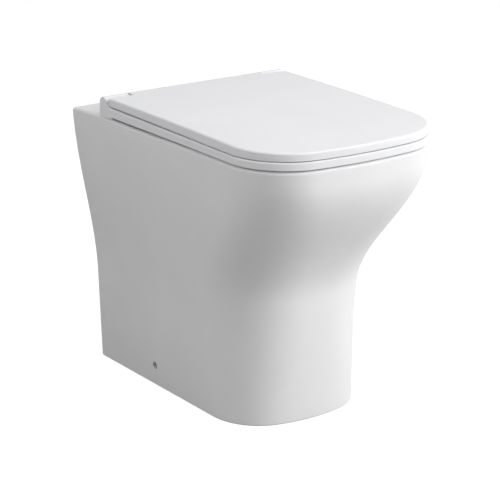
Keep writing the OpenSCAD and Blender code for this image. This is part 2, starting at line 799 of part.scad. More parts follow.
module lid() {
    web_y = heel_y - ease_edge;
    color("whitesmoke") difference() {
        union() {
            plan_loft(lid_rings());
            across(-knuckle_out, knuckle_out, [
                [axis_y, lid_z], [axis_y, axis_z + barrel_r], [web_y, lid_top(web_y)],
                [web_y, lid_z]]);
            eased_axle(-knuckle_in, knuckle_in, barrel_r, ease_edge / 2);
            for (side = [-1, 1])
                eased_axle(side * end_knuckle, side * knuckle_out, barrel_r, ease_edge / 2);
        }
        plan_loft([for (z = [axis_z - barrel_r, lid_ceiling])
            at_height(lid_outline(lid_wall, lid_wall + lid_heel_r), z)]);
        for (side = [-1, 1]) {
            axle(side * knuckle_in, side * end_knuckle, barrel_r + post_gap);
            translate([side > 0 ? knuckle_in : -end_knuckle, axis_y - post_notch, axis_z])
                cube([end_knuckle - knuckle_in, 2 * post_notch, 2 * barrel_r]);
            axle(side * (end_knuckle - cut), side * (knuckle_out + cut), bush_r + fit_gap);
        }
        keyed_axle(knuckle_in + cut, lid_damper_x - damper_l - fit_gap,
                   damper_d / 2 + fit_gap, damper_flat + fit_gap);
        axle(-knuckle_in - cut, -lid_damper_x + bush_l + fit_gap, bush_r + fit_gap);
    }
}

// Buffer whose foot clears the seat at the buffer's back edge, where the seat is higher
module lid_buffer(x, y) {
    foot = seat_top + rest_gap - seat_front_fall * closed(y + lid_buffer_d / 2);
    translate([x, y, 0]) puck(foot, lid_ceiling - foot, lid_buffer_d / 2, ease_edge);
}

module lid_buffers() {
    color("dimgray") for (side = [-1, 1]) {
        lid_buffer(side * lid_buffer_side, -lid_buffer_back);
        lid_buffer(side * lid_buffer_mid, lid_buffer_front - lid_front);
    }
}

// ---- Hinge --------------------------------------------------------------------------------

// Post: a barrel on a stem, with a blind hole in each end and a stud hole underneath
module hinge_post(side) {
    from = side < 0 ? -post_out : post_in;
    to = from + post_w;
    color("gainsboro") difference() {
        union() {
            eased_axle(from, to, barrel_r, ease_edge / 2);
            translate([from, axis_y + ease_edge - barrel_r, post_z])
                cube([post_w, barrel_r - ease_edge + stem_rear, axis_z - post_z]);
        }
        axle(from - cut, from + shaft_grip + fit_gap, grip_r);
        axle(to - shaft_grip - fit_gap, to + cut, grip_r);
        translate([side * post_x, stud_y, post_z - cut])
            cylinder(h = stud_grip + fit_gap + cut, r = stud_d / 2 + fit_gap);
    }
}

module hinge_post_left() { hinge_post(-1); }

module hinge_post_right() { hinge_post(1); }

module hinge_plate(side) {
    color("silver") translate([side * post_x, stud_y, deck_h + gasket_t])
        disc(0, plate_t, plate_d / 2, stud_d / 2 + fit_gap, ease_edge / 2);
}

module hinge_plate_left() { hinge_plate(-1); }

module hinge_plate_right() { hinge_plate(1); }

module deck_gaskets() {
    color("dimgray") at_studs()
        disc(deck_h, gasket_t, plate_d / 2 - ease_edge, stud_d / 2 + fit_gap, gasket_t / 4);
}

module stud_sleeves() {
    color("dimgray") at_studs()
        disc(deck_under, deck_t, deck_hole_d / 2 - fit_gap, stud_d / 2 + fit_gap, ease_edge / 4);
}

module hinge_studs() {
    foot = nut_z - stud_tail;
    color("silver") at_studs()
        puck(foot, post_z + stud_grip - foot, stud_d / 2, ease_edge);
}

module stud_washers() {
    color("silver") at_studs()
        disc(washer_z, washer_t, washer_d / 2, stud_d / 2 + fit_gap, ease_edge / 4);
}

// Six-sided nut with its corners chamfered
module stud_nuts() {
    color("silver") at_studs() intersection() {
        translate([0, 0, nut_z]) cylinder(h = nut_h, d = nut_d, $fn = 6);
        disc(nut_z, nut_h, nut_d / 2, stud_d / 2 + fit_gap, ease_edge);
    }
}

module seat_damper_body() {
    color("gray") damper(-seat_damper_x, -seat_damper_x - damper_l);
}

module seat_damper_shaft() {
    color("silver")
        eased_axle(-post_out + shaft_grip, -seat_damper_x - damper_grip, shaft_r, ease_edge / 2);
}

module lid_damper_body() {
    color("gray") damper(lid_damper_x, lid_damper_x - damper_l);
}

module lid_damper_shaft() {
    color("silver")
        eased_axle(post_in + shaft_grip, lid_damper_x - damper_grip, shaft_r, ease_edge / 2);
}

module seat_pivot_pin() {
    color("silver")
        eased_axle(post_out - shaft_grip, seat_damper_x + bush_l - end_gap, shaft_r, ease_edge / 2);
}

module lid_pivot_pin() {
    color("silver")
        eased_axle(-post_in - shaft_grip, -lid_damper_x + bush_l - end_gap, shaft_r, ease_edge / 2);
}

module seat_bush() {
    color("gainsboro") bush(seat_damper_x, seat_damper_x + bush_l);
}

module lid_bushes() {
    slack = (end_knuckle_l - bush_l) / 2;
    color("gainsboro") {
        for (side = [-1, 1])
            bush(side * (end_knuckle + slack), side * (knuckle_out - slack));
        bush(-lid_damper_x, -lid_damper_x + bush_l);
    }
}

pan();
seat_ring();
lid();
hinge_post_left();
hinge_post_right();
hinge_plate_left();
hinge_plate_right();
deck_gaskets();
hinge_studs();
stud_sleeves();
stud_washers();
stud_nuts();
seat_damper_body();
seat_damper_shaft();
lid_damper_body();
lid_damper_shaft();
seat_pivot_pin();
lid_pivot_pin();
seat_bush();
lid_bushes();
seat_buffers();
lid_buffers();
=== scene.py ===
import math

import bmesh
import bpy
import numpy as np
from mathutils import Matrix, Vector


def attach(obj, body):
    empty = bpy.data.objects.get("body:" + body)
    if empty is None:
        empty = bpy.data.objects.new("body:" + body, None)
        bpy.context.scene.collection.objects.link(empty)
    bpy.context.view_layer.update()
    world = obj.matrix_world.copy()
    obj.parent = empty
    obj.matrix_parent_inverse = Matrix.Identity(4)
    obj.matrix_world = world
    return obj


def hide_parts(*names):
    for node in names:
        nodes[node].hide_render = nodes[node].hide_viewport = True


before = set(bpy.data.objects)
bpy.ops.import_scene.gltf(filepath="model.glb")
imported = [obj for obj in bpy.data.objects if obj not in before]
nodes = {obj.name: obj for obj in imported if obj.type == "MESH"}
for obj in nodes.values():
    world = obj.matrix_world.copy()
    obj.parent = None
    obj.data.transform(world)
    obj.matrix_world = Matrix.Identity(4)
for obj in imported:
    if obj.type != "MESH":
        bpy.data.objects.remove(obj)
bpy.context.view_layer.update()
MM = 0.001

# ---- Sizes, in millimetres, as in part.scad -------------------------------------------------
RIM_H, RIM_W, RIM_REACH, RIM_R, RIM_BOW, RIM_EDGE = 420.0, 328.0, 520.0, 94.0, 21.0, 5.0
FOOT_W, FOOT_REACH, FOOT_R, FOOT_BOW, FOOT_EDGE = 237.0, 403.0, 82.0, 31.0, 3.0
WAIST_R, SIDE_LEAN, FRONT_LEAN = 111.0, 0.042, 0.05
SIDE_DROP, SIDE_L, FRONT_DROP, FRONT_L = 8.0, 268.0, 27.0, 202.0
BACK_R, FALL, FALL_L, FALL_H = 4.0, 3.0, 72.0, 60.0
REAR_FALL, FALL_FROM, FALL_TO = 2.8, 400.0, 122.0
DECK_UNDER = 397.2
WALL, BOWL_WALL, BOWL_W, BOWL_BACK, LAND = 12.0, 11.0, 234.0, 165.0, 45.0
BOWL_FLOOR, SUMP, LIP = 66.0, 322.0, 5.0
TRAP_R, TRAP_WALL, RISE, DROP, DROP_L = 36.0, 9.0, 60.0, 40.0, 15.0
SUMP_BEND, WEIR_BEND, OUT_BEND, OUT_H = 45.0, 50.0, 60.0, 185.0
SPIGOT_D, SPIGOT_BORE, SPIGOT_L, SPIGOT_GAP = 102.0, 84.0, 40.0, 22.0
INLET_H, INLET_D, INLET_L, INLET_GAP, INLET_WALL, FLUSH_D = 335.0, 55.0, 60.0, 45.0, 11.0, 42.0
FIX_D, FIX_BACK, FIX_H, DECK_HOLE = 12.0, 160.0, 33.0, 14.0
AXIS_Y, AXIS_Z, BARREL, STUD_Y, POST_X = -92.0, 438.5, 10.0, -96.0, 77.5
KN_IN, END_KN, KN_OUT, LUG_IN, LUG_OUT, LUG_R, TOE = 64.6, 90.4, 119.0, 121.0, 164.0, 20.5, 23.0
SEAT_Z, SEAT_TOP, DISH, SEAT_EDGE = 424.0, 434.2, 2.6, 2.2
HOLE_W, HOLE_BACK, SEAT_FRONT, BRIDGE, CHANNEL, CH_WALL = 218.0, 172.0, 68.0, 111.0, 3.4, 6.0
LID_Z, LID_INSET, LID_FT, LID_BT, CROWN, LID_EDGE, LID_BACK_R = 436.6, 1.5, 9.6, 12.0, 1.9, 3.0, 5.0
LID_BACK, LID_RECESS, LID_WALL, LID_HEEL, LID_GAP = 103.5, 5.0, 7.0, 6.0, 2.4
CLOSE_FROM, CLOSE_TO, SEAT_CLOSE, SEAT_FALL, LID_CLOSE = 150.0, 450.0, 2.0, 0.9, 1.1
FALL_POWER, SIDE_SPREAD, EGG_POWER = 1.3, 1.3, 2.3
BOWL_REAR_POWER, BOWL_SIDE_POWER, BOWL_SIDE_ROOT, BOWL_FRONT_POWER = 0.75, 2.2, 0.8, 1.1
BOWL_RINGS, BOWL_SPREAD = 28, 4.6
LUG_EDGE, TOE_R, TOE_RISE, COVE_BACK, COVE_DROP = 1.4, 1.5, 10.0, 2.0, 4.0
DAMPER_BORE_R, SEAT_DAMPER_L, LID_DAMPER_L = 7.05, 38.05, 38.1
BUSH_BORE_R, SEAT_BUSH_L, LID_BUSH_L = 5.55, 28.55, 28.6
POCKET_GAP, NOTCH_HALF, NOTCH_H = 0.4, 5.0, 20.0
FIX_CUT_IN, FIX_CUT_OUT = 24.0, 12.0
OVERCUT = 1.0  # how far a cutting shape runs past the face that it cuts


def ease(t):
    u = min(max(t, 0.0), 1.0)
    return u * u * (3 - 2 * u)


def skirt_half(z):
    return (FOOT_W / 2 + SIDE_LEAN * z + (RIM_W / 2 - FOOT_W / 2 - SIDE_LEAN * RIM_H)
            * ease((z - RIM_H + SIDE_DROP + SIDE_L) / SIDE_L))


def skirt_reach(z):
    return (FOOT_REACH + FRONT_LEAN * z + (RIM_REACH - FOOT_REACH - FRONT_LEAN * RIM_H)
            * ease((z - RIM_H + FRONT_DROP + FRONT_L) / FRONT_L))


def skirt_corner(z):
    t = z / RIM_H
    return FOOT_R * (1 - t) + RIM_R * t + 4 * t * (1 - t) * (WAIST_R - (FOOT_R + RIM_R) / 2)


def skirt_bow(z):
    return FOOT_BOW + (RIM_BOW - FOOT_BOW) * z / RIM_H


def rim_fall(y):
    return REAR_FALL * ease((y + FALL_FROM) / (FALL_FROM - FALL_TO))


def closed(y):
    return ease((-CLOSE_FROM - y) / (CLOSE_TO - CLOSE_FROM))


def fall(y):
    return rim_fall(y) + FALL * max(0.0, 1 + y / FALL_L) ** FALL_POWER


def lid_top(y):
    t = min(max((AXIS_Y - y) / (RIM_REACH + AXIS_Y), 0.0), 1.0)
    return LID_Z + LID_BT + (LID_FT - LID_BT) * t + 4 * CROWN * t * (1 - t)


# ---- Outlines -------------------------------------------------------------------------------
STEPS = (16, 5, 30, 24, 14)  # back edge, back corner, side, front corner, front edge


def plan(half, back, reach, corner, bow, back_r):
    """D-shaped outline, from the middle of its back round by the left: flat back, bowed front."""
    nb, nbc, ns, nc, nf = STEPS
    fr = (half * half + bow * bow) / (2 * bow)
    fc = np.array([0.0, fr - reach])
    inner = half - corner
    cc = np.array([-inner, fc[1] - math.sqrt((fr - corner) ** 2 - inner ** 2)])
    turn = math.atan2(cc[1] - fc[1], -inner) + 2 * math.pi
    left = [(-(half - back_r) * i / nb, -back) for i in range(1, nb)]
    for i in range(nbc + 1):
        a = math.pi / 2 * (1 + i / nbc)
        left.append((back_r - half + back_r * math.cos(a), -back - back_r + back_r * math.sin(a)))
    for i in range(1, ns):
        t = (i / ns) ** SIDE_SPREAD
        left.append((-half, (-back - back_r) * (1 - t) + cc[1] * t))
    for i in range(nc + 1):
        a = math.pi + (turn - math.pi) * i / nc
        left.append((cc[0] + corner * math.cos(a), cc[1] + corner * math.sin(a)))
    for i in range(1, nf):
        a = turn + (1.5 * math.pi - turn) * i / nf
        left.append((fc[0] + fr * math.cos(a), fc[1] + fr * math.sin(a)))
    left = np.array(left)
    right = left[::-1] * [-1, 1]
    return np.vstack([[(0, -back)], left, [(0, -reach)], right])


def egg_point(a, half, back, mid, reach):
    ly = mid - back if math.sin(a) > 0 else reach - mid
    r = ((abs(math.cos(a)) / half) ** EGG_POWER
         + (abs(math.sin(a)) / ly) ** EGG_POWER) ** (-1 / EGG_POWER)
    return r * math.cos(a), r * math.sin(a) - mid


def egg(half, back, mid, reach, n=96):
    """Egg-shaped outline about the point that lies mid in front of the wall."""
    return np.array([egg_point(math.pi / 2 + 2 * math.pi * i / n, half, back, mid, reach)
                     for i in range(n)])


def lift(outline, z):
    """Gives an outline its height, which is one number or one for each point."""
    z = np.full(len(outline), z) if np.isscalar(z) else np.array(z)
    return np.column_stack([outline, z])


# ---- Meshes from rings ----------------------------------------------------------------------
def strips(start, n, nb):
    """Faces across one ring, from its left side to its right, that close a mesh."""
    half = n // 2
    k = nb + 1
    faces = [[start + i for i in range(k, -1, -1)] + [start + n - i for i in range(1, k + 1)]]
    faces += [[start + i + 1, start + i, start + n - i, start + n - i - 1]
              for i in range(k, half - 1)]
    return faces + [[start + half, start + half - 1, start + half + 1]]


def ring_mesh(name, rings, ends="flat", wrap=False, material=None):
    """A closed mesh through rings, lowest first; its ends are flat faces or side-to-side strips."""
    n, m = len(rings[0]), len(rings)
    verts = np.vstack(rings)
    faces = []
    for k in range(m if wrap else m - 1):
        a, b = k * n, ((k + 1) % m) * n
        faces += [[a + i, a + (i + 1) % n, b + (i + 1) % n, b + i] for i in range(n)]
    if not wrap:
        if ends == "flat":
            faces.append(list(range(n - 1, -1, -1)))
            faces.append([(m - 1) * n + i for i in range(n)])
        else:
            faces += strips(0, n, STEPS[0])
            faces += [f[::-1] for f in strips((m - 1) * n, n, STEPS[0])]
    return mesh_object(name, verts, faces, material)


def mesh_object(name, verts, faces, material=None):
    me = bpy.data.meshes.new(name)
    me.from_pydata((np.asarray(verts) * MM).tolist(), [], faces)
    me.validate()
    bm = bmesh.new()
    bm.from_mesh(me)
    bmesh.ops.recalc_face_normals(bm, faces=bm.faces)
    bm.to_mesh(me)
    bm.free()
    ob = bpy.data.objects.new(name, me)
    bpy.context.scene.collection.objects.link(ob)
    if material:
        me.materials.append(material)
    return ob


def lathe(name, profile, place, material=None, n=64):
    """Turns (distance along, radius) pairs about an axis; place maps (along, u, v) to a point."""
    rings = []
    for s, r in profile:
        rings.append(np.array([place(s, r * math.cos(2 * math.pi * i / n),
                                     r * math.sin(2 * math.pi * i / n)) for i in range(n)]))
    return ring_mesh(name, rings, material=material)


def tube(a, b, r):
    """Profile of a plain cylinder from a to b."""
    return [(a, r), (b, r)]


def on_axis(s, u, v):
    return s, AXIS_Y + u, AXIS_Z + v


def boolean(target, tool, operation, solver="EXACT"):
    """Joins the tool to the target or cuts it out, with the tool's material on the new faces."""
    mod = target.modifiers.new("cut", "BOOLEAN")
    mod.operation = operation
    mod.solver = solver
    if solver == "EXACT":
        mod.material_mode = "TRANSFER"
    mod.object = tool
    bpy.context.view_layer.update()
    graph = bpy.context.evaluated_depsgraph_get()
    me = bpy.data.meshes.new_from_object(target.evaluated_get(graph))
    target.modifiers.remove(mod)
    old = target.data
    target.data = me
    bpy.data.meshes.remove(old)
    bpy.data.objects.remove(tool)


def smooth(ob, angle=35.0):
    """Welds the joins, shades smoothly below an angle and keeps the other edges sharp."""
    me = ob.data
    bm = bmesh.new()
    bm.from_mesh(me)
    bmesh.ops.remove_doubles(bm, verts=bm.verts, dist=2e-6)
    limit = math.radians(angle)
    for f in bm.faces:
        f.smooth = True
    for e in bm.edges:
        e.smooth = not (len(e.link_faces) == 2 and e.calc_face_angle(0.0) > limit)
    bm.to_mesh(me)
    bm.free()
    mod = ob.modifiers.new("normals", "WEIGHTED_NORMAL")
    mod.keep_sharp = True
    mod.weight = 60


# ---- Materials ------------------------------------------------------------------------------
def new_material(name):
    mat = bpy.data.materials.new(name)
    mat.use_nodes = True
    tree = mat.node_tree
    tree.nodes.clear()
    out = tree.nodes.new("ShaderNodeOutputMaterial")
    bsdf = tree.nodes.new("ShaderNodeBsdfPrincipled")
    tree.links.new(bsdf.outputs[0], out.inputs[0])
    return mat, tree, bsdf


def texture(tree, scale, detail=3.0, rough=0.5, stretch=(1, 1, 1)):
    coord = tree.nodes.new("ShaderNodeTexCoord")
    mapping = tree.nodes.new("ShaderNodeMapping")
    mapping.inputs["Scale"].default_value = stretch
    noise = tree.nodes.new("ShaderNodeTexNoise")
    noise.inputs["Scale"].default_value = scale
    noise.inputs["Detail"].default_value = detail
    noise.inputs["Roughness"].default_value = rough
    tree.links.new(coord.outputs["Object"], mapping.inputs[0])
    tree.links.new(mapping.outputs[0], noise.inputs["Vector"])
    return noise


def span(tree, value, low, high, a, b):
    node = tree.nodes.new("ShaderNodeMapRange")
    node.inputs["From Min"].default_value = low
    node.inputs["From Max"].default_value = high
    node.inputs["To Min"].default_value = a
    node.inputs["To Max"].default_value = b
    tree.links.new(value, node.inputs["Value"])
    return node.outputs[0]


def blend_colour(tree, fac, a, b):
    node = tree.nodes.new("ShaderNodeMix")
    node.data_type = "RGBA"
    tree.links.new(fac, node.inputs["Factor"])
    node.inputs["A"].default_value = (*a, 1)
    node.inputs["B"].default_value = (*b, 1)
    return node.outputs["Result"]


def bump(tree, bsdf, height, distance, strength, before=None):
    node = tree.nodes.new("ShaderNodeBump")
    node.inputs["Distance"].default_value = distance
    node.inputs["Strength"].default_value = strength
    tree.links.new(height, node.inputs["Height"])
    if before:
        tree.links.new(before, node.inputs["Normal"])
    tree.links.new(node.outputs[0], bsdf.inputs["Normal"])
    return node.outputs[0]


def glazed(name, low, high, rough, coat, wave, pore):
    """White with its gloss in a thin coat: a faint drift of tone, long waves and fine pores."""
    mat, tree, bsdf = new_material(name)
    drift = texture(tree, 9, 4, 0.6)
    colour = blend_colour(tree, span(tree, drift.outputs["Fac"], 0.3, 0.7, 0, 1), low, high)
    tree.links.new(colour, bsdf.inputs["Base Color"])
    gloss = texture(tree, 60, 3, 0.5)
    tree.links.new(span(tree, gloss.outputs["Fac"], 0.3, 0.7, rough * 0.75, rough * 1.3),
                   bsdf.inputs["Roughness"])
    bsdf.inputs["Specular IOR Level"].default_value = 0.0
    bsdf.inputs["Coat Weight"].default_value = coat
    bsdf.inputs["Coat Roughness"].default_value = 0.04
    bsdf.inputs["Coat IOR"].default_value = 1.5
    long_wave = texture(tree, 28, 1, 0.4)
    first = bump(tree, bsdf, long_wave.outputs["Fac"], wave, 0.35)
    fine = texture(tree, 420, 2, 0.5)
    bump(tree, bsdf, fine.outputs["Fac"], pore, 0.25, first)
    return mat


def plain(name, low, high, rough, scale, depth, metallic=0.0, stretch=(1, 1, 1), spec=0.5):
    """A surface whose tone and gloss follow one noise, such as rubber, cast or brushed metal."""
    mat, tree, bsdf = new_material(name)
    grain = texture(tree, scale, 5, 0.6, stretch)
    fac = span(tree, grain.outputs["Fac"], 0.3, 0.7, 0, 1)
    tree.links.new(blend_colour(tree, fac, low, high), bsdf.inputs["Base Color"])
    tree.links.new(span(tree, fac, 0, 1, rough * 0.8, rough * 1.2), bsdf.inputs["Roughness"])
    bsdf.inputs["Metallic"].default_value = metallic
    bsdf.inputs["Specular IOR Level"].default_value = spec
    bump(tree, bsdf, grain.outputs["Fac"], depth, 0.4)
    return mat


ceramic = glazed("glazed_ceramic", (0.80, 0.80, 0.805), (0.83, 0.83, 0.835), 0.16, 0.12,
                 0.0006, 0.00003)
seat_white = glazed("seat_duroplast", (0.80, 0.80, 0.815), (0.82, 0.82, 0.835), 0.2, 0.12,
                    0.0002, 0.00003)
hinge_white = glazed("hinge_white", (0.79, 0.79, 0.79), (0.82, 0.82, 0.82), 0.2, 0.15,
                     0.0002, 0.00004)
bisque = plain("unglazed_ceramic", (0.60, 0.58, 0.54), (0.72, 0.70, 0.66), 0.75, 120, 0.0004, spec=0.3)
chrome = plain("polished_metal", (0.72, 0.73, 0.74), (0.80, 0.81, 0.82), 0.08, 90, 0.00002, 1.0)
steel = plain("zinc_plated_steel", (0.50, 0.51, 0.52), (0.66, 0.66, 0.66), 0.32, 300, 0.00004,
              1.0, (1, 1, 0.05))
rubber = plain("grey_rubber", (0.035, 0.035, 0.037), (0.06, 0.06, 0.062), 0.6, 500, 0.00006)
buffer_rubber = plain("white_rubber", (0.60, 0.60, 0.61), (0.68, 0.68, 0.69), 0.5, 400, 0.00005)
nylon = plain("natural_nylon", (0.58, 0.57, 0.54), (0.66, 0.65, 0.62), 0.42, 350, 0.00004)
damper_grey = plain("damper_housing", (0.10, 0.10, 0.11), (0.14, 0.14, 0.15), 0.38, 350, 0.00004)

NODE_MATERIAL = {
    "hinge_post_left": hinge_white, "hinge_post_right": hinge_white,
    "hinge_plate_left": chrome, "hinge_plate_right": chrome, "deck_gaskets": rubber,
    "hinge_studs": steel, "stud_sleeves": rubber, "stud_washers": nylon, "stud_nuts": nylon,
    "seat_damper_body": damper_grey, "seat_damper_shaft": steel,
    "lid_damper_body": damper_grey, "lid_damper_shaft": steel, "seat_pivot_pin": steel,
    "lid_pivot_pin": steel, "seat_bush": nylon, "lid_bushes": nylon,
    "seat_buffers": buffer_rubber, "lid_buffers": buffer_rubber}
for name, mat in NODE_MATERIAL.items():
    ob = nodes[name]
    ob.data.materials.clear()
    ob.data.materials.append(mat)
    for face in ob.data.polygons:
        face.use_smooth = True
    for edge in ob.data.edges:
        edge.use_edge_sharp = False
    split = ob.modifiers.new("edges", "EDGE_SPLIT")
    split.split_angle = math.radians(32)


# ---- Pan ------------------------------------------------------------------------------------
def on_pan(outline, z):
    """Lays an outline at a height, with its share of the rim's and the deck's fall."""
    share = ease((z - RIM_H + FALL_H) / FALL_H)
    return lift(outline, [z - fall(y) * share for y in outline[:, 1]])


def skirt_ring(z, inset):
    return on_pan(plan(skirt_half(z) - inset, inset, skirt_reach(z) - inset,
                       skirt_corner(z) - inset, skirt_bow(z), BACK_R), z)


def bowl_rear(t):
    return SUMP - (SUMP - BOWL_BACK) * (1 - t) ** BOWL_REAR_POWER


def bowl_egg(t, grow):
    """The bowl's outline at a share t of its depth, grown by an amount."""
    side = (1 - t ** BOWL_SIDE_POWER) ** BOWL_SIDE_ROOT
    front = 1 - t ** BOWL_FRONT_POWER
    return egg(BOWL_W / 2 * side + grow, bowl_rear(t) - grow, SUMP,
               SUMP + (RIM_REACH - LAND - SUMP) * front + grow)


def bowl_height(t):
    return RIM_H - (RIM_H - BOWL_FLOOR) * t


def trap_path():
    """Middle line of the trapway as (y, z, slope), and the place where it meets the spigot."""
    low, up, down = BOWL_FLOOR + TRAP_R, math.radians(RISE), math.radians(DROP)
    end_y = -SPIGOT_GAP - SPIGOT_L
    drop_end = (end_y - OUT_BEND * math.sin(down), OUT_H + OUT_BEND * (1 - math.cos(down)))
    weir_end = (drop_end[0] - DROP_L * math.cos(down), drop_end[1] + DROP_L * math.sin(down))
    leg_end = (weir_end[0] - WEIR_BEND * (math.sin(up) + math.sin(down)),
               weir_end[1] - WEIR_BEND * (math.cos(down) - math.cos(up)))
    rise = leg_end[1] - low - SUMP_BEND * (1 - math.cos(up))
    leg_start = (leg_end[0] - rise / math.tan(up), leg_end[1] - rise)
    sump_end = (leg_start[0] - SUMP_BEND * math.sin(up), low)

    def bend(at, r, a, b):
        s = 1 if b > a else -1
        return [(at[0] + s * r * (math.sin(t) - math.sin(a)),
                 at[1] + s * r * (math.cos(a) - math.cos(t)), t) for t in np.linspace(a, b, 13)[1:]]

    return ([(TRAP_R / 2 - SUMP, low, 0.0), (sump_end[0], low, 0.0)]
            + bend(sump_end, SUMP_BEND, 0.0, up) + [(leg_end[0], leg_end[1], up)]
            + bend(leg_end, WEIR_BEND, up, -down) + [(drop_end[0], drop_end[1], -down)]
            + bend(drop_end, OUT_BEND, -down, 0.0))


def trap_tube(name, r, material):
    path = trap_path()
    y, z, a = path[-1]
    path.append((y + 1, z, a))
    ang = np.linspace(0, 2 * math.pi, 48, endpoint=False)
    rings = [np.column_stack([r * np.cos(ang), y - r * np.sin(ang) * math.sin(a),
                              z + r * np.sin(ang) * math.cos(a)]) for y, z, a in path]
    return ring_mesh(name, rings, material=material)


def along_y(z):
    return lambda s, u, v: (u, -s, z + v)


def upright(x, y):
    return lambda s, u, v: (x + u, y + v, s)


rings = [skirt_ring(FOOT_EDGE * (1 - math.cos(a)), FOOT_EDGE * (1 - math.sin(a)))
         for a in np.linspace(0, math.pi / 2, 6)[:-1]]
rings += [skirt_ring(z, 0) for z in np.linspace(FOOT_EDGE, RIM_H - RIM_EDGE, 72)]
rings += [skirt_ring(RIM_H - RIM_EDGE * (1 - math.sin(a)), RIM_EDGE * (1 - math.cos(a)))
          for a in np.linspace(0, math.pi / 2, 8)[1:]]
pan = ring_mesh("pan_ceramic", rings, ends="strips", material=ceramic)

hollow = [lift(plan(skirt_half(z) - WALL, -OVERCUT, skirt_reach(z) - WALL, skirt_corner(z) - WALL,
                    skirt_bow(z), BACK_R), z if z > 0 else -OVERCUT)
          for z in np.linspace(0, DECK_UNDER, 26)]
boolean(pan, ring_mesh("hollow", hollow, ends="strips", material=bisque), "DIFFERENCE")

depths = [math.sin(math.pi / 2 * (BOWL_RINGS - i) / (BOWL_RINGS + BOWL_SPREAD))
          for i in range(BOWL_RINGS)]
shell = [lift(bowl_egg(t, BOWL_WALL), bowl_height(t) - BOWL_WALL) for t in depths]
shell.append(lift(bowl_egg(0, BOWL_WALL), DECK_UNDER + OVERCUT))
boolean(pan, ring_mesh("shell", shell, material=bisque), "UNION")
boolean(pan, trap_tube("trap", TRAP_R + TRAP_WALL, bisque), "UNION")
flush_end = bowl_rear((RIM_H - INLET_H) / (RIM_H - BOWL_FLOOR))
boolean(pan, lathe("spigot", tube(SPIGOT_GAP, SPIGOT_GAP + SPIGOT_L, SPIGOT_D / 2),
                   along_y(OUT_H), ceramic), "UNION")
boolean(pan, lathe("inlet", tube(INLET_GAP, flush_end + BOWL_WALL, INLET_D / 2 + INLET_WALL),
                   along_y(INLET_H), bisque), "UNION")

cavity = [on_pan(bowl_egg(t, 0), bowl_height(t)) for t in depths]
cavity += [on_pan(bowl_egg(0, LIP * (1 - math.cos(a))), RIM_H - LIP * (1 - math.sin(a)))
           for a in np.linspace(0, math.pi / 2, 8)]
cavity.append(on_pan(bowl_egg(0, LIP), RIM_H + OVERCUT))
boolean(pan, ring_mesh("cavity", cavity, material=ceramic), "DIFFERENCE")
boolean(pan, trap_tube("trap_bore", TRAP_R, ceramic), "DIFFERENCE")
for z, a, b, r in ((OUT_H, SPIGOT_GAP - OVERCUT, SPIGOT_GAP + SPIGOT_L, SPIGOT_BORE / 2),
                   (INLET_H, INLET_GAP - OVERCUT, INLET_GAP + INLET_L, INLET_D / 2),
                   (INLET_H, INLET_GAP, flush_end + 2 * BOWL_WALL, FLUSH_D / 2)):
    boolean(pan, lathe("pipe", tube(a, b, r), along_y(z), ceramic), "DIFFERENCE")
for side in (-1, 1):
    x = skirt_half(FIX_H)
    hole = lathe("hole", tube(x - FIX_CUT_IN, x + FIX_CUT_OUT, FIX_D / 2),
                 lambda s, u, v: (side * s, -FIX_BACK + u, FIX_H + v), ceramic)
    boolean(pan, hole, "DIFFERENCE")
    hole = lathe("hole", tube(DECK_UNDER - OVERCUT, RIM_H + OVERCUT, DECK_HOLE / 2),
                 upright(side * POST_X, STUD_Y), bisque)
    boolean(pan, hole, "DIFFERENCE")
smooth(pan)
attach(pan, "pan")
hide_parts("pan")


# ---- Seat -----------------------------------------------------------------------------------
def seat_outer(inset):
    out = plan(RIM_W / 2 - inset, -AXIS_Y + BARREL / 2 + inset, RIM_REACH - inset, RIM_R - inset,
               RIM_BOW, BACK_R)
    return np.array([(x, min(y, -BRIDGE - inset)) if abs(x) < LUG_IN else (x, y) for x, y in out])


SEAT_MID = (HOLE_BACK + RIM_REACH - SEAT_FRONT) / 2


def seat_inner(grow):
    return np.array([egg_point(math.atan2(y + SEAT_MID, x), HOLE_W / 2 + grow, HOLE_BACK - grow,
                               SEAT_MID, RIM_REACH - SEAT_FRONT + grow) for x, y in seat_outer(0)])


def seat_foot(outline, up=0.0):
    return lift(outline, [SEAT_Z + up - rim_fall(y) - SEAT_CLOSE * closed(y) for y in outline[:, 1]])


def seat_crest(outline, z):
    return lift(outline, [z - SEAT_FALL * closed(y) for y in outline[:, 1]])


quarter = np.linspace(0, math.pi / 2, 7)
rings = [seat_foot(seat_outer(0.5)), seat_foot(seat_outer(0), 0.5)]
rings += [seat_crest(seat_outer(SEAT_EDGE * (1 - math.cos(a))),
                     SEAT_TOP - SEAT_EDGE * (1 - math.sin(a))) for a in quarter]
for t in np.linspace(0, 1, 10)[1:-1]:
    mid = seat_outer(SEAT_EDGE) * (1 - t) + seat_inner(SEAT_EDGE) * t
    rings.append(seat_crest(mid, SEAT_TOP - DISH * ease(t)))
rings += [seat_crest(seat_inner(SEAT_EDGE * (1 - math.sin(a))),
                     SEAT_TOP - DISH - SEAT_EDGE * (1 - math.cos(a))) for a in quarter]
rings += [seat_foot(seat_inner(0), 0.5), seat_foot(seat_inner(0.5)),
          seat_foot(seat_inner(CH_WALL)), lift(seat_inner(CH_WALL), SEAT_Z + CHANNEL),
          lift(seat_outer(CH_WALL), SEAT_Z + CHANNEL), seat_foot(seat_outer(CH_WALL))]
seat = ring_mesh("seat_duroplast", rings, wrap=True, material=seat_white)


def turn_points(u, v, r, start, end, n):
    return [(u + r * math.cos(t), v + r * math.sin(t)) for t in np.linspace(start, end, n)]


